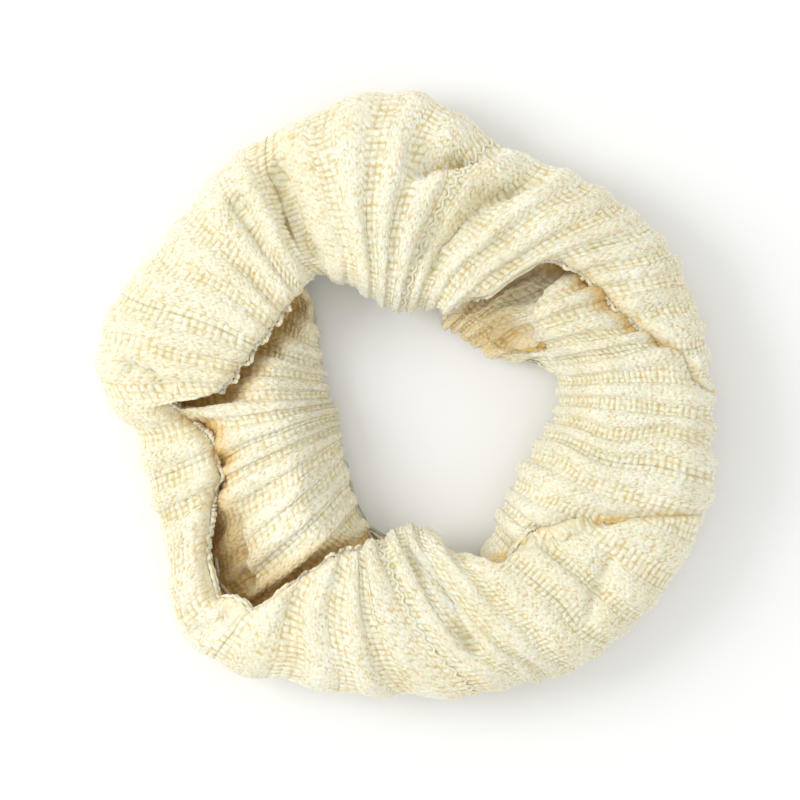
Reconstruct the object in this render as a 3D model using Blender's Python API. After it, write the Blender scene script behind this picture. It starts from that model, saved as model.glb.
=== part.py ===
"""A cream rib-knit infinity scarf lying on a table as an open ring. Two knitted half bands, the chain stitches along their long edges and the two yarns that sew them end to end. Metres, +Z up, origin at the middle of the underside."""

import math

import bmesh
import bpy
from mathutils import Vector

# overall sizes
LENGTH = 0.340  # across X
WIDTH = 0.331  # across Y
HEIGHT = 0.066  # table to the top of the fold
# the fabric and its yarns
FABRIC = 0.0080  # thickness of the knit
CHAIN = 0.0060  # thickness of an edge chain
SEAM = 0.0042  # thickness of a joining yarn
CLEAR = 0.0007  # between a joining yarn and the fabric beside it
EDGE_CLEAR = 0.0010  # between an edge chain and the edge it finishes
# the fold
LAYER_GAP = 0.0035  # between the two layers at the hole
INNER_TOP = 0.66  # height of the inner layer, as a share of HEIGHT
TUCK = 0.34  # how far down the hole side the free edge hangs, as a share of HEIGHT
CURL = 0.30  # how far short of the outer side the inner edge stops, as a share of the width

# meshing
AROUND, ACROSS = 28, 27  # faces of one half band
SEAM_STEPS = 44
OVER = 9 / 27  # the share of the rows that lie over the top, the rest following at even spacing

# outlines, as shares of half the length, by angle in degrees
OUTER = (
    (0, 1.00), (15, 0.98), (30, 0.97), (45, 0.93), (60, 0.88), (75, 0.91), (90, 0.97), (105, 0.96),
    (120, 0.95), (135, 0.95), (150, 0.93), (165, 0.99), (180, 0.96), (195, 0.88), (210, 0.90), (225, 1.03),
    (240, 1.03), (255, 0.99), (270, 0.98), (285, 1.00), (300, 1.03), (315, 1.04), (330, 1.05), (345, 1.03),
)
HOLE = (
    (0, 0.44), (15, 0.33), (30, 0.23), (45, 0.20), (60, 0.22), (75, 0.25), (90, 0.25), (105, 0.27),
    (120, 0.36), (135, 0.38), (150, 0.24), (165, 0.19), (180, 0.17), (195, 0.16), (210, 0.17), (225, 0.21),
    (240, 0.29), (255, 0.40), (270, 0.40), (285, 0.43), (300, 0.46), (315, 0.42), (330, 0.40), (345, 0.41),
)
# the free edge: -1 hangs down the hole side, 0 lies at the hole's rim, 1 at the outer shoulder
EDGE = (
    (0, -0.85), (8, -0.2), (16, 0.42), (25, 0.60), (36, 0.56), (46, 0.38), (56, 0.02), (67, -0.50), (80, -1.0),
    (100, -1.0), (122, -0.9), (136, -0.2), (150, 0.22), (165, 0.32), (180, 0.48),
    (195, 0.62), (210, 0.74), (225, 0.78), (234, 0.66), (244, 0.28), (254, -0.15), (266, -0.85),
    (280, -1.0), (320, -1.0), (350, -1.0),
)


def smooth(knots, degrees):
    """A closed smooth curve through (angle, value) knots."""
    a = degrees % 360.0
    n = len(knots)
    i = max(k for k in range(n) if knots[k][0] <= a)
    x0, y0 = knots[i]
    x1, y1 = knots[(i + 1) % n]
    xp, yp = knots[i - 1]
    xn, yn = knots[(i + 2) % n]
    span = (x1 - x0) % 360.0
    before, after = (x0 - xp) % 360.0, (xn - x1) % 360.0
    m0 = (y1 - yp) / (before + span) * span
    m1 = (yn - y0) / (span + after) * span
    t = (a - x0) / span
    return (
        (2 * t**3 - 3 * t**2 + 1) * y0
        + (t**3 - 2 * t**2 + t) * m0
        + (3 * t**2 - 2 * t**3) * y1
        + (t**3 - t**2) * m1
    )


def catmull(points, per=10):
    """A smooth open curve through 2-D points."""
    ends = [points[0] * 2 - points[1], *points, points[-1] * 2 - points[-2]]
    out = []
    for a, b, c, d in zip(ends, ends[1:], ends[2:], ends[3:], strict=False):
        for k in range(per):
            t = k / per
            out.append(
                0.5 * (2 * b + (c - a) * t + (2 * a - 5 * b + 4 * c - d) * t * t + (3 * b - a - 3 * c + d) * t**3)
            )
    return [*out, points[-1]]


def fold(degrees):
    """The section of the rolled band at one angle: its middle line in (radius, height) from the free edge to the inner edge, with the length along it."""
    half = FABRIC / 2
    inside = smooth(HOLE, degrees) * LENGTH / 2 + half
    outside = smooth(OUTER, degrees) * LENGTH / 2 - half
    w = outside - inside
    step = FABRIC + LAYER_GAP
    top = HEIGHT - half
    under = INNER_TOP * HEIGHT
    low = HEIGHT * TUCK
    line = catmull(
        [
            Vector(p)
            for p in (
                (inside, low),
                (inside, HEIGHT * 0.62),
                (inside + 0.10 * w, top - 0.05 * HEIGHT),
                (inside + 0.30 * w, top),
                (inside + 0.62 * w, top),
                (inside + 0.87 * w, top - 0.10 * HEIGHT),
                (outside, HEIGHT * 0.52),
                (inside + 0.95 * w, half + 0.10 * HEIGHT),
                (inside + 0.82 * w, half),
                (inside + 0.55 * w, half),
                (inside + step + 0.14 * w, half),
                (inside + step + 0.01 * w, half + 0.13 * HEIGHT),
                (inside + step, HEIGHT * 0.42),
                (inside + step + 0.10 * w, under - 0.02 * HEIGHT),
                (inside + 0.38 * w, under),
                (outside - CURL * w, under - 0.10 * HEIGHT),
            )
        ]
    )
    line = [Vector((p[0], max(p[1], half))) for p in line]
    run = [0.0]
    for a, b in zip(line, line[1:], strict=False):
        run.append(run[-1] + (b - a).length)
    at = smooth(EDGE, degrees)
    rim, shoulder = run[20], run[50]
    start = rim * (1 + at) if at < 0 else rim + at * (shoulder - rim)
    return line, run, max(0.0, start), run[52]


def along(line, run, s):
    """The point at length s, and the unit direction there."""
    s = min(max(s, 0.0), run[-1])
    i = max(0, min(len(run) - 2, next((k for k, r in enumerate(run) if r > s), len(run) - 1) - 1))
    t = (s - run[i]) / (run[i + 1] - run[i])
    before = line[max(0, i - 1)]
    after = line[min(len(line) - 1, i + 2)]
    ahead = (line[i + 1] - before) * (1 - t) + (after - line[i]) * t
    return line[i].lerp(line[i + 1], t), ahead.normalized()


FOLDS = {}


def drape(degrees, across, off=0.0):
    """Where the flat band comes to lie: across runs 0 at the free edge to 1 at the inner edge, off is the distance to the outer face."""
    key = round(degrees, 4)
    if key not in FOLDS:
        FOLDS[key] = fold(degrees)
    line, run, start, over = FOLDS[key]
    if across < OVER:
        s = start + (over - start) * across / OVER
    else:
        s = over + (run[-1] - over) * (across - OVER) / (1 - OVER)
    p, d = along(line, run, s)
    r, z = p[0] - d[1] * off, p[1] + d[0] * off
    a = math.radians(degrees)
    return Vector((r * math.cos(a) * FIT_X + MIDDLE_X, r * math.sin(a) * FIT_Y + MIDDLE_Y, z))


# the bare outline, stretched and centred so that the finished piece measures LENGTH by WIDTH
SPREAD = SEAM / 2 + CLEAR
RIM = [(smooth(OUTER, d) * LENGTH / 2, math.radians(d)) for d in range(360)]
XS, YS = [r * math.cos(a) for r, a in RIM], [r * math.sin(a) for r, a in RIM]
FIT_X = (LENGTH - 2 * SPREAD) / (max(XS) - min(XS))
FIT_Y = WIDTH / (max(YS) - min(YS))
MIDDLE_X = -FIT_X * (max(XS) + min(XS)) / 2
MIDDLE_Y = -FIT_Y * (max(YS) + min(YS)) / 2


def material(name, colour, rough):
    m = bpy.data.materials.new(name)
    m.use_nodes = True
    s = m.node_tree.nodes["Principled BSDF"]
    s.inputs["Base Color"].default_value = (*colour, 1)
    s.inputs["Roughness"].default_value = rough
    return m


def keep(ob, mat):
    ob.data.materials.append(mat)
    parts.objects.link(ob)


def half_band(name, first, side, mat):
    """One knitted half: a slab laid flat, then bent through drape()."""
    bm = bmesh.new()
    bmesh.ops.create_grid(bm, x_segments=AROUND, y_segments=ACROSS, size=0.5)
    new = bmesh.ops.extrude_face_region(bm, geom=bm.faces[:])
    bmesh.ops.translate(bm, vec=(0, 0, 1), verts=[v for v in new["geom"] if isinstance(v, bmesh.types.BMVert)])
    for v in bm.verts:
        x, y, z = v.co
        v.co = drape(first + 180.0 * (x + 0.5), y + 0.5, FABRIC * (z - 0.5))
        v.co.x += side * SPREAD
    bmesh.ops.recalc_face_normals(bm, faces=bm.faces[:])
    if bm.calc_volume(signed=True) < 0:
        bmesh.ops.reverse_faces(bm, faces=bm.faces[:])
    mesh = bpy.data.meshes.new(name)
    bm.to_mesh(mesh)
    bm.free()
    keep(bpy.data.objects.new(name, mesh), mat)


def yarn(name, path, thick, mat):
    """A round yarn along a path."""
    curve = bpy.data.curves.new(name, "CURVE")
    curve.dimensions = "3D"
    curve.bevel_depth = thick / 2
    curve.bevel_resolution = 1
    curve.use_fill_caps = True
    curve.twist_mode = "MINIMUM"
    spline = curve.splines.new("POLY")
    spline.points.add(len(path) - 1)
    for p, co in zip(spline.points, path, strict=True):
        p.co = (*co, 1)
    keep(bpy.data.objects.new(name, curve), mat)


def edge_path(first, side, end):
    """A line just off one long edge of a half band, square to that edge."""
    out = []
    off = CHAIN / 2 + EDGE_CLEAR
    column = 180.0 / AROUND
    for k in range(AROUND + 1):
        a = first + min(max(column * k, 0.6), 179.4)
        here = drape(a, end)
        ahead = (drape(a + column / 2, end) - drape(a - column / 2, end)).normalized()
        away = (here - drape(a, 0.01 if end == 0 else 0.99)).normalized()
        away = (away - ahead * away.dot(ahead)).normalized()
        proud = max((drape(a, end, face * FABRIC / 2) - here).dot(away) for face in (-1, 1))
        p = here + away * (off + max(0.0, proud))
        p.x += side * SPREAD
        out.append(p)
    return out


for ob in list(bpy.data.objects):
    bpy.data.objects.remove(ob, do_unlink=True)
parts = bpy.data.collections.new("infinity_scarf")
bpy.context.scene.collection.children.link(parts)

CREAM = (0.87, 0.82, 0.66)
half_band("left_half_band", 90.0, -1, material("left_knit", CREAM, 0.9))
half_band("right_half_band", -90.0, 1, material("right_knit", CREAM, 0.9))
yarn("left_cast_on_chain", edge_path(90.0, -1, 0), CHAIN, material("left_cast_on_yarn", CREAM, 0.9))
yarn("right_cast_on_chain", edge_path(-90.0, 1, 0), CHAIN, material("right_cast_on_yarn", CREAM, 0.9))
yarn("left_bind_off_chain", edge_path(90.0, -1, 1), CHAIN, material("left_bind_off_yarn", CREAM, 0.9))
yarn("right_bind_off_chain", edge_path(-90.0, 1, 1), CHAIN, material("right_bind_off_yarn", CREAM, 0.9))
for name, at in (("rear_seam_yarn", 90.0), ("front_seam_yarn", 270.0)):
    path = [drape(at, 0.006 + 0.988 * k / SEAM_STEPS) for k in range(SEAM_STEPS + 1)]
    yarn(name, path, SEAM, material(name.replace("_yarn", "_thread"), CREAM, 0.9))
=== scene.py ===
"""A cream rib-knit infinity scarf lying on a white table as an open ring. The cloth is laid out flat in
stitch coordinates, then placed over the fold that the scarf lies in. Metres, +Z up."""
import math

import bmesh
import bpy
import numpy as np
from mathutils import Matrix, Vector


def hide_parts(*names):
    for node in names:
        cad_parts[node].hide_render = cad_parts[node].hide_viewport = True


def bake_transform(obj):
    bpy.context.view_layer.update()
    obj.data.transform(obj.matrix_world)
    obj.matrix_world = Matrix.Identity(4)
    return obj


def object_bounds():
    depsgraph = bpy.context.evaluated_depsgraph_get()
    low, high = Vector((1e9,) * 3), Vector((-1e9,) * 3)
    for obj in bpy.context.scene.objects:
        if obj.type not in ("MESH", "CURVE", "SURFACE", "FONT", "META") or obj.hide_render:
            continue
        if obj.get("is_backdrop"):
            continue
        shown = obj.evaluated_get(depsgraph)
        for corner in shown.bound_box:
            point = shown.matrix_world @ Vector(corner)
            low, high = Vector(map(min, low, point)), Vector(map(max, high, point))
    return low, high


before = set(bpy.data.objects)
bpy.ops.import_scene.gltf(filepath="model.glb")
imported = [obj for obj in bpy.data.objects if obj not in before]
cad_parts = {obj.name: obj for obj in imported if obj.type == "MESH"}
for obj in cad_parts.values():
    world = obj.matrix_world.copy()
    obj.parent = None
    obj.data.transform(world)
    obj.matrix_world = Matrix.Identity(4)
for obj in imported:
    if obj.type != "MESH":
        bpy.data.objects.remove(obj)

CAD_LOW, CAD_HIGH = (Vector(corner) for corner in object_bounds())
HALF = (CAD_HIGH.x - CAD_LOW.x) / 2  # half the ring's length; outlines are shares of it
TALL = CAD_HIGH.z  # table to the top of the fold

# ---- the knit
RIBS = 40  # knit ribs round the loop
WALES_PER_RIB = 7  # columns of stitches in one rib and its valley
KNIT_WALES = 4  # of those, the ones that show as knit
COURSE = 0.0038  # height of one stitch
RIB_WIDTH = 0.0245  # one rib and valley, laid flat
YARN = 0.0034  # thickness of the cloth without its ribs
STITCH_RELIEF = 0.0012  # how far the stitches stand out
NUBS = 0.00055  # how far the chenille's nubs stand out
WANDER = 1.8  # degrees that a rib strays from its line
PIVOT = 0.4  # share of the ring's width where a slanting rib crosses its own angle
UNEVEN = 0.0017  # how far the soft cloth bulges and sinks at random
RIB_DEPTH = 0.66  # how much of the full meander the soft ribs keep
RIB_SINK = 0.10  # how far a rib is sunk into the cloth, as a share of its flat width
CHAIN_RADIUS = 0.0012  # of an edge chain's plump loops
CHAIN_OFF = 0.0017  # from the cloth's cut end to the middle of its chain
SEAM_RADIUS, SEAM_PROUD, SEAM_WIDTH = 0.0008, 0.0002, 0.25  # the seam's yarn, and its swing in columns
YARN_SIDES = 8
POINTS_PER_LOOP = 6  # along an edge chain
TABLE_GAP = 0.0004  # the lowest that the cloth comes
EDGE_ROLL = 0.0085  # radius that a free edge rolls under to
BACK_ROW = 1.4  # courses to a row of faces on the cloth's hidden side
COLUMNS_PER_WALE, ROWS_PER_COURSE = ((6, 5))

# ---- how the band lies, by angle in degrees
OUTER = (  # the outside of the ring
    (0, 0.985), (10, 0.985), (20, 0.968), (30, 0.972), (40, 0.94), (50, 0.91), (60, 0.878), (67, 0.868),
    (73, 0.893), (80, 0.935), (90, 0.973), (100, 0.976), (110, 0.952), (120, 0.957), (130, 0.95),
    (138, 0.925), (150, 0.934), (160, 0.985), (172, 1.008), (180, 0.966), (190, 0.875), (200, 0.883),
    (210, 0.905), (219, 0.985), (227, 1.06), (233, 1.06), (241, 1.035), (250, 0.99), (260, 0.985),
    (270, 0.978), (280, 0.995), (290, 1.0), (300, 1.025), (312, 1.04), (322, 1.045), (332, 1.040),
    (342, 1.022), (351, 0.995),
)
HOLE = (  # the inside of the ring
    (0, 0.469), (7, 0.455), (15, 0.37), (22, 0.295), (30, 0.257), (40, 0.235), (50, 0.229), (62, 0.235),
    (72, 0.258), (82, 0.252), (92, 0.247), (104, 0.272), (113, 0.325), (121, 0.395), (130, 0.452),
    (136, 0.40), (142, 0.345), (156, 0.283), (168, 0.245), (180, 0.229), (200, 0.215), (220, 0.245),
    (240, 0.335), (252, 0.41), (260, 0.43), (267, 0.405), (274, 0.40), (281, 0.425), (288, 0.485),
    (296, 0.525), (303, 0.49), (312, 0.45), (330, 0.41), (345, 0.43),
)
FREE_EDGE = (  # -1 hangs down the hole side, 0 the hole's rim, 1 the outer rim, 2 down the outside
    (0, 1.0), (6, 0.87), (12, 0.74), (20, 0.66), (30, 0.615), (37, 0.60), (43, 0.54), (47, 0.40),
    (50, 0.245), (57, 0.165), (65, 0.02), (72, -0.35), (84, -0.95), (100, -1.0), (118, -0.95), (128, -0.5),
    (134, 0.0), (141, 0.16), (150, 0.245), (160, 0.30), (170, 0.37), (177, 0.44), (181, 0.53),
    (183.5, 0.80), (186.5, 0.78), (190, 0.70), (196, 0.655), (203, 0.665), (209, 0.75), (215, 0.80),
    (223, 0.82), (231, 0.80), (235, 0.66), (240, 0.45), (247, 0.24), (256, 0.03), (262, -0.5), (272, -0.95),
    (284, -1.0), (290, -0.5), (296, 0.03), (303, 0.15), (312, 0.235), (320, 0.34), (328, 0.52), (334, 0.75),
    (341, 1.2), (349, 1.5), (356, 1.4),
)
TOP = (  # height of the upper layer
    (0, 0.96), (20, 0.93), (35, 0.96), (48, 1.0), (65, 1.0), (88, 0.97), (105, 1.0), (122, 0.93), (140, 0.98),
    (165, 1.0), (180, 0.98), (188, 0.84), (205, 0.80), (220, 0.80), (230, 0.92), (240, 0.98), (255, 1.0),
    (275, 0.95), (290, 1.0), (310, 0.98), (330, 0.97), (345, 0.96),
)
UNDER_REACH = (0.06, 0.17, 0.31, 0.62, 0.85)  # places across the inner layer whose heights are given
UNDER_TOP = (  # height of the inner layer at those places
    (0, (0.60, 0.84, 0.95, 0.96, 0.92)),
    (8, (0.52, 0.78, 0.95, 0.96, 0.90)),
    (15, (0.40, 0.62, 0.96, 0.94, 0.86)),
    (25, (0.34, 0.38, 0.94, 0.92, 0.78)),
    (32, (0.34, 0.38, 0.92, 0.90, 0.74)),
    (37, (0.34, 0.40, 0.76, 0.80, 0.64)),
    (41, (0.38, 0.44, 0.62, 0.72, 0.68)),
    (46, (0.40, 0.46, 0.56, 0.64, 0.62)),
    (60, (0.40, 0.48, 0.54, 0.52, 0.46)),
    (75, (0.42, 0.50, 0.56, 0.52, 0.42)),
    (100, (0.44, 0.54, 0.60, 0.55, 0.44)),
    (128, (0.42, 0.46, 0.46, 0.40, 0.34)),
    (142, (0.36, 0.38, 0.42, 0.42, 0.36)),
    (156, (0.42, 0.58, 0.62, 0.60, 0.50)),
    (170, (0.46, 0.70, 0.80, 0.76, 0.66)),
    (185, (0.46, 0.74, 0.86, 0.80, 0.70)),
    (200, (0.46, 0.74, 0.86, 0.74, 0.60)),
    (212, (0.46, 0.74, 0.86, 0.64, 0.40)),
    (221, (0.46, 0.74, 0.88, 0.48, 0.30)),
    (231, (0.46, 0.74, 0.86, 0.44, 0.28)),
    (240, (0.46, 0.70, 0.80, 0.54, 0.36)),
    (252, (0.45, 0.66, 0.70, 0.62, 0.50)),
    (270, (0.44, 0.55, 0.62, 0.58, 0.45)),
    (290, (0.48, 0.64, 0.74, 0.74, 0.60)),
    (305, (0.58, 0.80, 0.88, 0.86, 0.72)),
    (318, (0.62, 0.84, 0.91, 0.90, 0.80)),
    (328, (0.63, 0.87, 0.95, 0.93, 0.86)),
    (337, (0.63, 0.87, 0.97, 0.96, 0.90)),
    (348, (0.63, 0.86, 0.96, 0.98, 0.92)),
)
# painted shade: how strongly the inner layer is tinted yellow-brown low down
LOW_SHADE = ((12, 0), (30, 0.5), (56, 0.5), (68, 0), (200, 0))  # how yellow the inner layer looks low down
DIP = (  # how far the inner layer drops where it passes under the free edge
    (0, 0.009), (12, 0.010), (24, 0.011), (33, 0.013), (41, 0.009), (48, 0.005), (60, 0.004),
    (90, 0), (120, 0), (135, 0.006), (150, 0.010), (168, 0.012), (181, 0.018), (190, 0.013),
    (205, 0.012), (222, 0.010), (240, 0.010), (254, 0.009), (264, 0), (285, 0), (294, 0.005),
    (305, 0.008), (322, 0.008), (340, 0.008),
)
DIP_REACH = 0.085  # how far from the edge that drop is felt
UNDER_END = (  # how far across the inner layer reaches before it turns down
    (0, 1.01), (5, 0.97), (14, 0.86), (30, 0.80), (180, 0.80), (290, 0.80), (325, 0.86),
    (336, 0.97), (342, 1.01),
)
SLANT = (  # degrees that a rib turns between the hole and the outside, upper layer
    (0, -1), (15, -4), (30, -8), (52, -17), (72, -22), (92, -19), (115, -11), (150, -3), (180, 0), (215, 0),
    (236, 4), (250, 13), (263, 23), (276, 26), (289, 18), (304, 9), (322, 2), (345, 0),
)
UNDER_SLANT = (  # the same, inner layer
    (0, -1), (15, -4), (30, -10), (45, -14), (80, -6), (150, 4), (195, 2), (222, -6), (245, -17), (264, -12),
    (292, 6), (320, 6), (345, 1),
)
# how much a free edge rolls under
ROLL = ((0, 0.6), (12, 1), (60, 1), (270, 1), (292, 1), (335, 1), (345, 0.4))
# painted shade: the reach of the brown-orange tint painted on the fold below a free edge
CREVICE = (  # how far across from the free edge the fold below it stays dark
    (0, 0.02), (12, 0.08), (30, 0.12), (40, 0.09), (60, 0.08), (135, 0.16), (150, 0.20),
    (165, 0.14), (182, 0.18), (205, 0.18), (222, 0.40), (234, 0.36), (250, 0.12),
    (292, 0.04), (302, 0.02), (345, 0.02),
)

# ---- creases: the layer, the points (x, y), then the width, the depth, and how far the cloth on the left of
# the path stands over that on its right
CREASES = (
    (
        "top",
        ((0.066, 0.139), (0.050, 0.133), (0.032, 0.127), (0.016, 0.122), (0.000, 0.116)),
        0.0070, 0.009, 0.0090,
    ),
    (
        "top",
        ((0.088, 0.125), (0.064, 0.115), (0.047, 0.106), (0.030, 0.091), (0.018, 0.077), (0.012, 0.060)),
        0.0075, 0.016, 0.0100,
    ),
    (
        "top",
        ((-0.070, 0.138), (-0.070, 0.112), (-0.060, 0.090), (-0.050, 0.074), (-0.042, 0.058)),
        0.0060, 0.010, -0.0040,
    ),
    (
        "top",
        ((-0.094, 0.108), (-0.084, 0.092), (-0.070, 0.070)),
        0.0065, 0.006, 0.0000,
    ),
    (
        "top",
        ((-0.118, -0.131), (-0.106, -0.125), (-0.092, -0.117)),
        0.0045, 0.010, -0.0040,
    ),
    (
        "top",
        ((0.038, -0.146), (0.029, -0.125), (0.017, -0.105), (0.004, -0.088), (-0.006, -0.070)),
        0.0060, 0.006, 0.0030,
    ),
    (
        "top",
        ((0.112, -0.082), (0.100, -0.110), (0.098, -0.128)),
        0.0050, 0.006, 0.0000,
    ),
    (
        "top",
        ((-0.155, 0.020), (-0.135, 0.013), (-0.124, 0.002)),
        0.0050, 0.008, 0.0030,
    ),
    (
        "top",
        ((0.052, -0.072), (0.066, -0.080), (0.084, -0.078), (0.104, -0.066), (0.122, -0.062)),
        0.0050, 0.006, 0.0000,
    ),
    (
        "inner",
        ((0.080, 0.012), (0.071, 0.024), (0.064, 0.037), (0.066, 0.049), (0.074, 0.060), (0.088, 0.066)),
        0.0045, 0.007, -0.0050,
    ),
    (
        "inner",
        ((-0.088, -0.062), (-0.090, -0.082), (-0.088, -0.098), (-0.083, -0.112)),
        0.0045, 0.006, 0.0045,
    ),
)


def ring(knots, degrees):
    """A closed smooth curve through (angle, value) knots, at many angles at once."""
    x = np.array([k[0] for k in knots], float)
    y = np.array([k[1] for k in knots], float)
    y = y.reshape(len(x), -1)
    gap = np.diff(np.append(x, x[0] + 360.0))
    rise = (np.roll(y, -1, 0) - y) / gap[:, None]
    before = np.roll(rise, 1, 0)
    both = np.where(rise + before == 0, 1, rise + before)
    slope = np.where(rise * before > 0, 2 * rise * before / both, 0.0)
    a = np.mod(np.asarray(degrees, float), 360.0)
    i = np.searchsorted(x, a, side="right") - 1
    j = (i + 1) % len(x)
    t = (((a - x[i]) % 360.0) / gap[i])[..., None]
    h = gap[i][..., None]
    out = (
        (2 * t**3 - 3 * t**2 + 1) * y[i]
        + (t**3 - 2 * t**2 + t) * h * slope[i]
        + (3 * t**2 - 2 * t**3) * y[j]
        + (t**3 - t**2) * h * slope[j]
    )
    return out[..., 0] if out.shape[-1] == 1 else out


def smoothstep(low, high, x):
    """0 before low, 1 past high, smooth between; low may be the larger."""
    t = np.clip((x - low) / (high - low), 0, 1)
    return t * t * (3 - 2 * t)


# ---- the fold: one section for each angle, as a smooth line from the free edge to the inner edge
STEP = 30  # points between two of a section's guide points
ANGLE_STEP = 0.25  # degrees between two sections
THETA = np.arange(0, 360, ANGLE_STEP)
HALF_CLOTH = 0.0030  # from the fold's line to the table or to the hole's outline
LOWEST = HALF_CLOTH + 0.0012  # height of the fold's line where the cloth lies on the table
BEHIND = 0.0095  # how far back the inner layer starts where the free edge hangs down the hole side
SHOULDER, OUTSIDE, FLOOR, WALL = 5, 6, 8, 11  # numbers of the guide points that other things refer to


def sections():
    """Radius, height and share of the width for every angle of THETA along the whole section."""
    outside = ring(OUTER, THETA) * HALF - 0.0022
    inside = ring(HOLE, THETA) * HALF + HALF_CLOTH
    edge = ring(FREE_EDGE, THETA)
    w = outside - inside
    top = ring(TOP, THETA) * TALL - HALF_CLOTH - 0.0015
    low = np.full_like(w, LOWEST)
    heights = ring(UNDER_TOP, THETA) * TALL - HALF_CLOTH
    end = ring(UNDER_END, THETA)
    back = inside + BEHIND * (1 - smoothstep(-0.35, 0.15, edge))
    v = outside - back
    guides = [  # down the hole side, over the top, down the outside, under, and up the inner layer's wall
        (inside, 0.30 * TALL + 0 * w),
        (inside, 0.60 * TALL + 0 * w),
        (inside + 0.09 * w, top - 0.07 * TALL),
        (inside + 0.28 * w, top),
        (inside + 0.62 * w, top),
        (inside + 0.87 * w, top - 0.10 * TALL),
        (outside, 0.54 * TALL + 0 * w),
        (inside + 0.955 * w, low + 0.12 * TALL),
        (inside + 0.84 * w, low),
        (inside + 0.50 * w, low),
        (back + 0.16 * v, low),
        (back + 0.025 * v, low + 0.22 * (heights[:, 0] - low)),
        (back, low + 0.55 * (heights[:, 0] - low)),
    ]
    for k, reach in enumerate(UNDER_REACH):
        along = np.minimum(reach, end - 0.02) if k == 4 else reach
        guides.append((back + along * v, heights[:, k]))
    over = smoothstep(0.95, 1.02, end)  # where the inner layer closes over the outer wall
    guides.append((back + end * v, heights[:, 4] - (0.16 + 0.10 * over) * TALL))
    guides.append((back + (end - 0.04 + 0.05 * over) * v, heights[:, 4] - (0.30 + 0.28 * over) * TALL))
    return np.stack([np.stack(g, -1) for g in guides], 1), edge


def spline(g):
    """A smooth line through guide points, at STEP points a span; g is (angles, guides, 2)."""
    first, last = 2 * g[:, :1] - g[:, 1:2], 2 * g[:, -1:] - g[:, -2:-1]
    g = np.concatenate([first, g, last], 1)
    a, b, c, d = (g[:, k : g.shape[1] - 3 + k, None] for k in range(4))
    t = (np.arange(STEP) / STEP)[None, None, :, None]
    square, cube = 2 * a - 5 * b + 4 * c - d, 3 * b - a - 3 * c + d
    line = 0.5 * (2 * b + (c - a) * t + square * t * t + cube * t**3)
    line = line.reshape(len(g), -1, 2)
    return np.concatenate([line, g[:, -2:-1]], 1)


GUIDES, EDGE = sections()
LINE = spline(GUIDES)
N_ANGLES, N_PLACES = LINE.shape[:2]
LAST_PLACE = N_PLACES - 1.001  # leaves one more place after it to read
SHARE = (LINE[..., 0] - GUIDES[:, None, 0, 0]) / (GUIDES[:, None, OUTSIDE, 0] - GUIDES[:, None, 0, 0])
PAST = SHARE - EDGE[:, None]
DROP = np.where(PAST > 0, 1.0, np.exp(-((PAST / DIP_REACH) ** 2))) * ring(DIP, THETA)[:, None]
INNER = smoothstep((WALL + 0.5) * STEP, (WALL + 2.0) * STEP, np.arange(N_PLACES))
LINE[..., 1] = np.maximum(LINE[..., 1] - DROP * INNER, LOWEST)
HOPS = np.linalg.norm(np.diff(LINE, axis=1), axis=2)  # from each place to the next
LENGTHS = np.concatenate([np.zeros((N_ANGLES, 1)), np.cumsum(HOPS, 1)], 1)
MEAN_LENGTH = LENGTHS.mean(0)
COURSES = (MEAN_LENGTH - MEAN_LENGTH[SHOULDER * STEP]) / COURSE  # course number at each place


def edge_places():
    """The place along each section where the free edge lies."""
    out = np.empty(N_ANGLES)
    places = np.arange(N_PLACES, dtype=float)
    rim, outer = int(1.3 * STEP), OUTSIDE * STEP
    for k in range(N_ANGLES):
        e = EDGE[k]
        if e < 0:
            out[k] = rim * (1 + e)
        elif e <= 1:
            out[k] = np.interp(e, np.maximum.accumulate(SHARE[k, rim : outer + 1]), places[rim : outer + 1])
        else:
            out[k] = outer + (e - 1) * STEP
    return out


def cloth_points():
    """The smooth cloth in space: every angle by every place."""
    a = np.radians(THETA)[:, None]
    return np.stack([LINE[..., 0] * np.cos(a), LINE[..., 0] * np.sin(a), LINE[..., 1]], -1)


def cloth_normals(p):
    """The way out of the cloth at each of its points."""
    around = np.roll(p, -1, 0) - np.roll(p, 1, 0)
    across = np.gradient(p, axis=1)
    n = np.cross(across, around)
    return n / np.maximum(np.linalg.norm(n, axis=2, keepdims=True), 1e-12)


def beside(points, path):
    """Distance in plan from points to a bent line, its side (left is 1), and how far along it, 0 to 1."""
    best = np.full(points.shape[:2], 1e9)
    side, along = np.zeros(best.shape), np.zeros(best.shape)
    for k, ((x0, y0), (x1, y1)) in enumerate(zip(path, path[1:], strict=False)):
        a = np.array((x0, y0))
        d = np.array((x1, y1)) - a
        off = points[..., :2] - a
        t = np.clip((off @ d) / (d @ d), 0, 1)
        far = np.linalg.norm(off - t[..., None] * d, axis=-1)
        left = (d[0] * off[..., 1] - d[1] * off[..., 0]) / np.linalg.norm(d)
        nearer = far < best
        side = np.where(nearer, np.clip(left / 0.002, -1, 1), side)
        along = np.where(nearer, (k + t) / (len(path) - 1), along)
        best = np.where(nearer, far, best)
    return best, side, along


EDGE_PLACE = edge_places()
CLOTH = cloth_points()
FACING = cloth_normals(CLOTH)
INWARDS = FACING.copy()  # the way through the cloth, before its creases
LAYERS = {"top": np.arange(N_PLACES) < 6.3 * STEP, "inner": INNER > 0.5}
for layer, path, wide, deep, step in CREASES:
    far, side, along = beside(CLOTH, path)
    dent = np.exp(-np.sqrt((far / wide) ** 2 + 0.06) + 0.245)
    shelf = np.exp(-((far / (3.2 * wide)) ** 2)) * side
    fade = smoothstep(0.0, 0.2, along) * smoothstep(1.0, 0.72, along)
    flat = np.clip(FACING[..., 2], 0, 1) * LAYERS[layer] * fade
    CLOTH += FACING * (flat * (step * shelf - deep * dent))[..., None]
FACING = cloth_normals(CLOTH)


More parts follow.
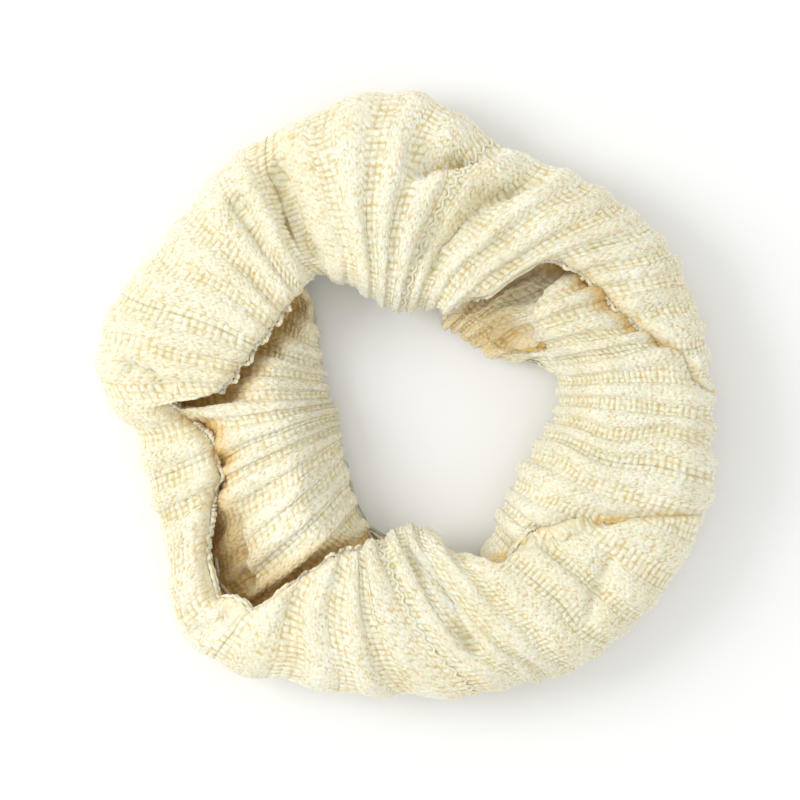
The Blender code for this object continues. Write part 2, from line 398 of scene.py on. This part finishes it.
def sample(table, angle, place):
    """Reads a table of angle by place in between its entries."""
    i = np.mod(angle, 360.0) / ANGLE_STEP
    i0 = np.floor(i).astype(int)
    fi = i - i0
    i0 %= N_ANGLES
    i1 = (i0 + 1) % N_ANGLES
    j = np.clip(place, 0, LAST_PLACE)
    j0 = j.astype(int)
    fj = j - j0
    if table.ndim == 3:
        fi, fj = fi[..., None], fj[..., None]
    near = table[i0, j0] * (1 - fj) + table[i0, j0 + 1] * fj
    far = table[i1, j0] * (1 - fj) + table[i1, j0 + 1] * fj
    return near * (1 - fi) + far * fi


# ---- ribs: a meander whose arc keeps its length as the rib is squeezed
BENDS = np.linspace(0.0, 1.45, 30)
PHASES, FINER = 280, 4  # steps kept across a rib, and the finer ones that each is added up from


def meanders():
    """Sideways place and height of the rib's meander for each bend, as shares of the flat width."""
    fine = np.linspace(0, 1, PHASES * FINER + 1)
    turn = BENDS[:, None] * np.cos(2 * np.pi * fine)
    middle = (turn[:, 1:] + turn[:, :-1]) / 2
    x = np.concatenate([np.zeros((len(BENDS), 1)), np.cumsum(np.cos(middle), 1)], 1) / (PHASES * FINER)
    z = np.concatenate([np.zeros((len(BENDS), 1)), np.cumsum(np.sin(middle), 1)], 1) / (PHASES * FINER)
    return x[:, ::FINER], z[:, ::FINER]


SIDE, RISE = meanders()
SQUEEZE = SIDE[:, -1].copy()  # width left at each bend
SIDE = SIDE / SQUEEZE[:, None]


def meander(phase, width_share):
    """Sideways share of the rib and height in flat widths, for a rib squeezed to width_share."""
    bend = np.interp(-np.clip(width_share, SQUEEZE[-1], 0.93), -SQUEEZE, np.arange(len(BENDS)))
    b0 = np.minimum(bend.astype(int), len(BENDS) - 2)
    fb = bend - b0
    k = phase * PHASES
    k0 = np.minimum(k.astype(int), PHASES - 1)
    part = k - k0
    out = []
    for table in (SIDE, RISE):
        low = table[b0, k0] * (1 - part) + table[b0, k0 + 1] * part
        high = table[b0 + 1, k0] * (1 - part) + table[b0 + 1, k0 + 1] * part
        out.append(low * (1 - fb) + high * fb)
    return out


# ---- noise that varies smoothly over the cloth
def patchwork(rows, columns, seed):
    """A table of even random numbers from -1 to 1."""
    return np.random.default_rng(seed).random((rows, columns)) * 2 - 1


def soft_noise(table, x, y):
    """Smooth noise; x and y count cells and wrap."""
    n, m = table.shape
    i0, j0 = np.floor(x).astype(int), np.floor(y).astype(int)
    fx, fy = x - i0, y - j0
    fx, fy = fx * fx * (3 - 2 * fx), fy * fy * (3 - 2 * fy)
    i0, j0 = i0 % n, j0 % m
    i1, j1 = (i0 + 1) % n, (j0 + 1) % m
    near = table[i0, j0] * (1 - fy) + table[i0, j1] * fy
    far = table[i1, j0] * (1 - fy) + table[i1, j1] * fy
    return near * (1 - fx) + far * fx


WALES = RIBS * WALES_PER_RIB
PATCH_ROWS = 160  # more courses than the band is wide
PER_STITCH = patchwork(WALES, PATCH_ROWS, 3)
PER_STITCH_SHIFT = patchwork(WALES // 2, PATCH_ROWS, 4)
STRAY = patchwork(WALES // 10, 64, 5)
THICKER = patchwork(WALES // 8, 64, 7)
BULGES = patchwork(WALES // 10, 64, 9)
FLUFF = patchwork(WALES * 3, 811, 6)
COARSE_FLUFF = patchwork(WALES * 3 // 2, 601, 10)
RIB_SHARE = 1 + 0.16 * np.random.default_rng(8).standard_normal(RIBS).clip(-1.5, 1.5)
RIB_START = np.concatenate([[0], np.cumsum(RIB_SHARE)]) / RIB_SHARE.sum() * 360.0


def stitch_height(wale, course):
    """Height of the yarn over the cloth, 0 in a gap to 1 on a stitch. wale and course count stitches."""
    w0, c0 = np.floor(wale).astype(int), np.floor(course).astype(int)
    a = wale - w0
    within = np.mod(w0, WALES_PER_RIB)  # the first few columns of a rib lie on its crest
    size = PER_STITCH[w0 % WALES, c0 % PATCH_ROWS]
    shift = soft_noise(PER_STITCH_SHIFT, wale * 0.5, course * 0.6) * 0.22
    leg = np.abs(2 * a - 1)
    chevron = np.abs(np.sin(np.pi * (course + shift + 0.62 * leg)))
    half_wale = np.sin(np.pi * np.clip(np.mod(2 * a, 1.0), 0, 1))
    knit = 0.18 + 0.82 * chevron**0.9 * (0.5 + 0.5 * half_wale**0.6)
    bar = np.abs(np.sin(np.pi * (course + 0.6 * shift)))
    purl = bar**0.8 * (0.35 + 0.65 * np.sin(np.pi * a) ** 0.6)
    h = np.where(within < KNIT_WALES, knit, purl)
    return h * (0.84 + 0.20 * size)


def drape(wale, place, off, stitched=True):
    """Lays cloth in space. wale counts columns round the loop, place runs along the section, off is inwards.

    Returns the points, how much yarn stands there (less in the rib valleys, where shade is painted), how much
    shade is painted there for its depth in a fold, and how far from the edge."""
    rib = np.floor(wale / WALES_PER_RIB).astype(int)
    phase = wale / WALES_PER_RIB - rib
    rib %= RIBS
    start, width = RIB_START[rib], RIB_START[rib + 1] - RIB_START[rib]
    alpha = start + phase * width
    reach = np.interp(place, np.arange(N_PLACES), SHARE.mean(0))
    inner = place > (WALL + 0.5) * STEP
    lean = np.where(inner, ring(UNDER_SLANT, alpha), ring(SLANT, alpha)) * (np.clip(reach, 0, 1) - PIVOT)
    course = np.interp(place, np.arange(N_PLACES), COURSES)
    lean = lean + WANDER * soft_noise(STRAY, wale / 10, course / 9)
    theta = alpha + lean
    radius = np.linalg.norm(sample(CLOTH, theta, place)[..., :2], axis=-1)
    share = np.radians(width) * radius / RIB_WIDTH
    side, rise = meander(phase, share)
    theta = start + side * width + lean
    point = sample(CLOTH, theta, place)
    facing = sample(FACING, theta, place)
    facing /= np.maximum(np.linalg.norm(facing, axis=-1, keepdims=True), 1e-9)
    depth = RIB_DEPTH * (1 + 0.45 * soft_noise(THICKER, wale / 8, course / 6))
    depth = depth * (0.35 + 0.65 * smoothstep(0.30, 0.95, share))
    depth = depth * (1 - 0.3 * smoothstep(0.86, 1.0, reach))
    height = (rise - RIB_SINK) * RIB_WIDTH * depth
    height = height + UNEVEN * soft_noise(BULGES, wale / 10, course / 7.5)
    # a free edge rolls under
    from_edge = sample(LENGTHS, theta, place) - sample(LENGTHS, theta, sample_edge(theta))
    curl = EDGE_ROLL * ring(ROLL, theta)
    roll = np.clip(1 - from_edge / curl, 0, 1)
    height = height - curl * (1 - np.sqrt(np.clip(1 - roll**2, 0, 1)))
    yarn = np.zeros_like(height)
    if stitched:
        yarn = stitch_height(wale, course)
        nubs = 0.6 * soft_noise(FLUFF, wale * 3, course * 3)
        nubs = nubs + 0.5 * soft_noise(COARSE_FLUFF, wale * 1.5, course * 1.6)
        height = height + STITCH_RELIEF * (yarn - 0.5) + NUBS * nubs
        # painted shade: the rib valleys sit lower on this scale, so they take more of the warm gap colour
        yarn = np.clip(yarn + 0.45 * nubs, 0, 1) * (0.72 + 0.28 * smoothstep(-0.10, 0.12, rise))
    out = point + facing * height[..., None] - sample(INWARDS, theta, place) * off[..., None]
    out[..., 2] = np.maximum(out[..., 2], TABLE_GAP)
    # painted shade: cloth under a free edge, on its rolled lip and low in the inner layer gets a brown-orange
    # tint
    edge = np.interp(np.mod(theta, 360), THETA, EDGE, period=360)
    covered = sample(SHARE, theta, place) - edge
    open_here = smoothstep(0.0, 0.1, edge) * (1 - smoothstep(0.95, 1.05, edge))
    below = smoothstep(-1.0, 0.0, covered / ring(CREVICE, theta))
    deep = np.clip(ring(DIP, theta) / 0.011, 0, 1)
    fold_shade = np.where(inner, below * deep, 0.25 * roll**3) * open_here
    # painted shade: the inner layer is tinted by how low it lies
    sunk_shade = ring(LOW_SHADE, theta) * smoothstep(0.66, 0.34, point[..., 2] / TALL)
    fold_shade = np.maximum(fold_shade, np.where(inner, sunk_shade, 0.0))
    return out, yarn, fold_shade, from_edge


def sample_edge(theta):
    """Place of the free edge at any angle."""
    i = np.mod(theta, 360.0) / ANGLE_STEP
    i0 = np.floor(i).astype(int)
    f = i - i0
    return EDGE_PLACE[i0 % N_ANGLES] * (1 - f) + EDGE_PLACE[(i0 + 1) % N_ANGLES] * f


def edge_place_of(wale):
    """Place of the free edge along one column of stitches."""
    places = np.arange(0, OUTSIDE * STEP + STEP, 1.0)
    rib = int(math.floor(wale / WALES_PER_RIB)) % RIBS
    phase = wale / WALES_PER_RIB - math.floor(wale / WALES_PER_RIB)
    width = RIB_START[rib + 1] - RIB_START[rib]
    alpha = RIB_START[rib] + phase * width
    reach = np.interp(places, np.arange(N_PLACES), SHARE.mean(0))
    theta = alpha + ring(SLANT, np.full_like(places, alpha)) * (np.clip(reach, 0, 1) - PIVOT)
    course = np.interp(places, np.arange(N_PLACES), COURSES)
    theta = theta + WANDER * soft_noise(STRAY, wale / 10 + 0 * course, course / 9)
    scallop = 0.02 * STEP * math.cos(2 * math.pi * (phase - 0.25))  # ribs reach a little further than valleys
    hidden = np.nonzero(places < sample_edge(theta))[0]
    return max(0.0, places[hidden[-1]] - scallop) if len(hidden) else 0.0


# ---- materials
def chenille(name, cream, gap, fold_shade):
    """Soft matt chenille, pale on the nubs, with painted warm shade in the gaps between stitches and painted
    brown shade down in the folds.
    """
    m = bpy.data.materials.new(name)
    m.use_nodes = True
    nodes, links = m.node_tree.nodes, m.node_tree.links
    skin = nodes["Principled BSDF"]
    skin.inputs["Roughness"].default_value = 0.95
    skin.inputs["Specular IOR Level"].default_value = 0.12
    skin.inputs["Subsurface Weight"].default_value = 0.3
    skin.inputs["Subsurface Radius"].default_value = (1.0, 0.55, 0.22)
    skin.inputs["Subsurface Scale"].default_value = 0.006
    skin.inputs["Sheen Weight"].default_value = 0.3
    skin.inputs["Sheen Roughness"].default_value = 0.6
    where = nodes.new("ShaderNodeTexCoord")

    def attribute(label):
        node = nodes.new("ShaderNodeAttribute")
        node.attribute_name = label
        return node.outputs["Fac"]

    def ramp(source, low, high, first, last):
        node = nodes.new("ShaderNodeValToRGB")
        node.color_ramp.elements[0].position, node.color_ramp.elements[0].color = low, (*first, 1)
        node.color_ramp.elements[1].position, node.color_ramp.elements[1].color = high, (*last, 1)
        links.new(source, node.inputs["Fac"])
        return node.outputs["Color"]

    def noise(scale, detail):
        node = nodes.new("ShaderNodeTexNoise")
        node.inputs["Scale"].default_value = scale
        node.inputs["Detail"].default_value = detail
        links.new(where.outputs["Object"], node.inputs["Vector"])
        return node.outputs["Fac"]

    def mix(kind, share, a, b):
        node = nodes.new("ShaderNodeMix")
        node.data_type = "RGBA"
        node.blend_type = kind
        if isinstance(share, float):
            node.inputs["Factor"].default_value = share
        else:
            links.new(share, node.inputs["Factor"])
        for socket, colour in (("A", a), ("B", b)):
            if isinstance(colour, tuple):
                node.inputs[socket].default_value = (*colour, 1)
            else:
                links.new(colour, node.inputs[socket])
        return node.outputs["Result"]

    # painted shade: yarn that sits low, between stitches and in rib valleys, takes the warm gap colour
    yarn = ramp(attribute("yarn"), 0.0, 0.44, gap, cream)
    nubs = ramp(noise(620, 3), 0.36, 0.62, (0.84, 0.76, 0.54), (1, 1, 1))
    drift = ramp(noise(28, 2), 0.35, 0.70, (0.93, 0.90, 0.82), (1, 1, 1))
    cloth = mix("MULTIPLY", 0.65, yarn, nubs)
    cloth = mix("MULTIPLY", 1.0, cloth, drift)
    # painted shade: the folds' brown-orange tint is multiplied in
    cloth = mix("MULTIPLY", attribute("fold_shade"), cloth, fold_shade)
    links.new(cloth, skin.inputs["Base Color"])
    bump = nodes.new("ShaderNodeBump")
    bump.inputs["Strength"].default_value = 0.6
    bump.inputs["Distance"].default_value = 0.0007
    links.new(noise(1100, 4), bump.inputs["Height"])
    links.new(bump.outputs["Normal"], skin.inputs["Normal"])
    return m


CREAM = (0.95, 0.94, 0.825)
# painted shade: the warm colour of the gaps between stitches and of the rib valleys
GAP_SHADE = (0.78, 0.66, 0.37)
# the colour that painted shade in the folds multiplies in
FOLD_SHADE = (0.93, 0.65, 0.25)
KNIT = chenille("cream_chenille_knit", CREAM, GAP_SHADE, FOLD_SHADE)


def place_rows():
    """Places along the section for the rows of the outer face, fine where the cloth shows."""
    fine = np.arange(math.floor(COURSES[0]), COURSES[-1], 1 / ROWS_PER_COURSE)
    return np.interp(fine, COURSES, np.arange(N_PLACES))


def knit_piece(name, first_rib, last_rib):
    """The cloth from one rib's valley to another's, as one closed piece."""
    steps = COLUMNS_PER_WALE * WALES_PER_RIB * (last_rib - first_rib)
    wales = first_rib * WALES_PER_RIB + SEAM_VALLEY + np.arange(steps + 1) / COLUMNS_PER_WALE
    outer = place_rows()
    under = (outer > FLOOR * STEP - 10) & (outer < (WALL - 1) * STEP)
    keep = ~under | (np.arange(len(outer)) % 3 == 0)
    outer = outer[keep]
    inner = np.interp(np.arange(COURSES[-1], COURSES[0], -BACK_ROW), COURSES, np.arange(N_PLACES))
    edge = np.array([edge_place_of(w) for w in wales])
    rows = len(outer) + len(inner) + 1
    bm = bmesh.new()
    bmesh.ops.create_grid(bm, x_segments=steps, y_segments=rows - 1, size=0.5)
    mesh = bpy.data.meshes.new(name)
    bm.to_mesh(mesh)
    bm.free()
    co = np.empty(len(mesh.vertices) * 3)
    mesh.vertices.foreach_get("co", co)
    co = co.reshape(-1, 3)
    column = np.rint((co[:, 0] + 0.5) * steps).astype(int)
    row = np.rint((co[:, 1] + 0.5) * (rows - 1)).astype(int)
    all_places = np.concatenate([outer, inner, outer[:1]])
    place = np.maximum(all_places[row], edge[column])
    face = (row < len(outer)) | (row == rows - 1)
    point, yarn, fold_shade, from_edge = drape(wales[column], place, np.where(face, 0.0, YARN))
    plain = drape(wales[column], place, np.where(face, 0.0, YARN), stitched=False)[0]
    point[~face] = plain[~face]
    yarn[~face] = 0.5
    # painted shade on the cloth's hidden side, away from its edge
    fold_shade[~face] = smoothstep(0.004, 0.030, from_edge[~face])
    mesh.vertices.foreach_set("co", point.astype(np.float32).ravel())
    for label, values in (("yarn", yarn), ("fold_shade", fold_shade)):
        mesh.attributes.new(label, "FLOAT", "POINT").data.foreach_set("value", values.astype(np.float32))
    bm = bmesh.new()
    bm.from_mesh(mesh)
    bmesh.ops.remove_doubles(bm, verts=bm.verts[:], dist=2e-5)
    open_edges = [e for e in bm.edges if e.is_boundary]
    caps = bmesh.ops.holes_fill(bm, edges=open_edges, sides=0)["faces"]
    for f in bm.faces:
        f.smooth = True
    for f in caps:
        f.smooth = False
    if bm.calc_volume(signed=True) < 0:
        bmesh.ops.reverse_faces(bm, faces=bm.faces[:])
    bm.to_mesh(mesh)
    bm.free()
    mesh.materials.append(KNIT)
    ob = bpy.data.objects.new(name, mesh)
    bpy.context.scene.collection.objects.link(ob)
    return ob


def tube(name, strands, across, finish):
    """Plump yarn along one or more lines of points. A strand is its points and its radius at each of them."""
    bm = bmesh.new()
    for path, radius in strands:
        path = np.asarray(path)
        along = np.gradient(path, axis=0)
        along /= np.linalg.norm(along, axis=1, keepdims=True)
        left = np.cross(along, across)
        left /= np.linalg.norm(left, axis=1, keepdims=True)
        up = np.cross(left, along)
        strand = bmesh.new()
        bmesh.ops.create_grid(strand, x_segments=len(path) - 1, y_segments=YARN_SIDES, size=0.5)
        for v in strand.verts:
            k = round((v.co.x + 0.5) * (len(path) - 1))
            turn = 2 * math.pi * (v.co.y + 0.5)
            v.co = Vector(path[k] + radius[k] * (math.cos(turn) * left[k] + math.sin(turn) * up[k]))
        bmesh.ops.remove_doubles(strand, verts=strand.verts[:], dist=2e-6)
        bmesh.ops.holes_fill(strand, edges=[e for e in strand.edges if e.is_boundary], sides=0)
        if strand.calc_volume(signed=True) < 0:
            bmesh.ops.reverse_faces(strand, faces=strand.faces[:])
        loose = bpy.data.meshes.new("strand")
        strand.to_mesh(loose)
        strand.free()
        bm.from_mesh(loose)
        bpy.data.meshes.remove(loose)
    for f in bm.faces:
        f.smooth = len(f.verts) == 4
    mesh = bpy.data.meshes.new(name)
    bm.to_mesh(mesh)
    bm.free()
    # a light painted shade, even along the yarn
    for label, value in (("yarn", 1.0), ("fold_shade", 0.12)):
        mesh.attributes.new(label, "FLOAT", "POINT").data.foreach_set("value", [value] * len(mesh.vertices))
    mesh.materials.append(finish)
    ob = bpy.data.objects.new(name, mesh)
    bpy.context.scene.collection.objects.link(ob)
    return ob


def edge_chain(name, wales, places, inwards):
    """The chain of loops that finishes an edge: two strands of plump loops, half a stitch apart."""
    strands = []
    for through, shift in ((0.20, 0.0), (1.0, 0.5)):
        off = np.full(len(wales), YARN * through)
        lip = drape(wales, places, off, stitched=False)[0]
        past = lip - drape(wales, places + inwards, off, stitched=False)[0]
        past /= np.linalg.norm(past, axis=1, keepdims=True)
        radius = CHAIN_RADIUS * (0.62 + 0.38 * np.abs(np.sin(np.pi * (wales + shift))))
        path = lip + past * CHAIN_OFF
        path[:, 2] = np.maximum(path[:, 2], CHAIN_RADIUS + 0.0006)
        strands.append((path, radius))
    return tube(name, strands, (0, 0, 1), EDGE_YARN)


def seam_yarn(name, wale):
    """The seam's yarn, whipped to and fro across the join from the free edge to the inner one."""
    start = edge_place_of(wale) + 1.5
    course = np.arange(np.interp(start, np.arange(N_PLACES), COURSES), COURSES[-1] - 0.5, 0.25)
    places = np.interp(course, COURSES, np.arange(N_PLACES))
    wales = wale + SEAM_WIDTH * np.sin(np.pi * course)
    path = drape(wales, places, np.full(len(places), -SEAM_PROUD), stitched=False)[0]
    path[:, 2] = np.maximum(path[:, 2], SEAM_RADIUS + 0.0003)
    return tube(name, [(path, np.full(len(path), SEAM_RADIUS))], (1, 0, 0), SEAM_YARN)


def belongs(piece, slot, *nodes):
    """Bakes a piece's placement and hides the CAD nodes that it stands for."""
    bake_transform(piece)
    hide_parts(*nodes)


# ---- the scarf
EDGE_YARN = chenille("cream_edge_chain", CREAM, GAP_SHADE, FOLD_SHADE)
SEAM_YARN = chenille("cream_seam_yarn", CREAM, GAP_SHADE, FOLD_SHADE)
REAR_RIB, PIECE_RIBS = 10, 4  # the rib that the rear seam is beside, and the ribs in one knitted piece
SEAM_VALLEY = -2  # columns from a rib's start to its valley
HALF_RIBS = RIBS // 2
for half, side in enumerate(("left", "right")):
    begin = REAR_RIB + half * HALF_RIBS
    for k in range(HALF_RIBS // PIECE_RIBS):
        first = begin + k * PIECE_RIBS
        piece = knit_piece(f"{side}_knit_{k + 1}", first, first + PIECE_RIBS)
        belongs(piece, f"{side}_knit", f"{side}_half_band")
    loops = np.arange(0.5, HALF_RIBS * WALES_PER_RIB - 0.4, 1 / POINTS_PER_LOOP)
    wales = begin * WALES_PER_RIB + SEAM_VALLEY + loops
    free = np.array([edge_place_of(w) for w in wales])
    ends = np.full(len(wales), LAST_PLACE)
    belongs(edge_chain(f"{side}_cast_on_loops", wales, free, 1.0), "edge_yarn", f"{side}_cast_on_chain")
    belongs(edge_chain(f"{side}_bind_off_loops", wales, ends, -1.0), "edge_yarn", f"{side}_bind_off_chain")
rear = REAR_RIB * WALES_PER_RIB + SEAM_VALLEY
belongs(seam_yarn("rear_seam_stitches", rear), "seam_yarn", "rear_seam_yarn")
front = (REAR_RIB + HALF_RIBS) * WALES_PER_RIB + SEAM_VALLEY
belongs(seam_yarn("front_seam_stitches", front), "seam_yarn", "front_seam_yarn")

# ---- table, light and camera
bpy.ops.mesh.primitive_plane_add(size=12, location=(0, 0, 0))
table = bpy.context.object
table.name = "table"
white = bpy.data.materials.new("white_table")
white.use_nodes = True
white.node_tree.nodes["Principled BSDF"].inputs["Base Color"].default_value = (0.88, 0.885, 0.88, 1)
white.node_tree.nodes["Principled BSDF"].inputs["Roughness"].default_value = 0.9
table.data.materials.append(white)
table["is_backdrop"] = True

world = bpy.data.worlds.new("studio")
bpy.context.scene.world = world
world.use_nodes = True
world.node_tree.nodes["Background"].inputs["Color"].default_value = (1, 1, 1, 1)
world.node_tree.nodes["Background"].inputs["Strength"].default_value = 0.95


def soft_box(name, place, size, power):
    """A round soft light that points at the middle of the ring."""
    lamp = bpy.data.lights.new(name, "AREA")
    lamp.shape = "DISK"
    lamp.size = size
    lamp.energy = power
    ob = bpy.data.objects.new(name, lamp)
    bpy.context.scene.collection.objects.link(ob)
    ob.location = place
    ob.rotation_euler = (-Vector(place)).to_track_quat("-Z", "Y").to_euler()


soft_box("key", place=(-1.25, 0.2, 1.2), size=0.9, power=12)

camera = bpy.data.cameras.new("camera")
camera.lens = 160
camera.clip_start, camera.clip_end = 0.05, 20
eye = bpy.data.objects.new("camera", camera)
bpy.context.scene.collection.objects.link(eye)
FRAME_WIDTH = 0.4300  # what the view spans at mid height
eye.location = (-0.0036, -0.0027, TALL * 0.6 + FRAME_WIDTH * camera.lens / camera.sensor_width)
bpy.context.scene.camera = eye
bpy.context.scene.view_settings.view_transform = "Standard"
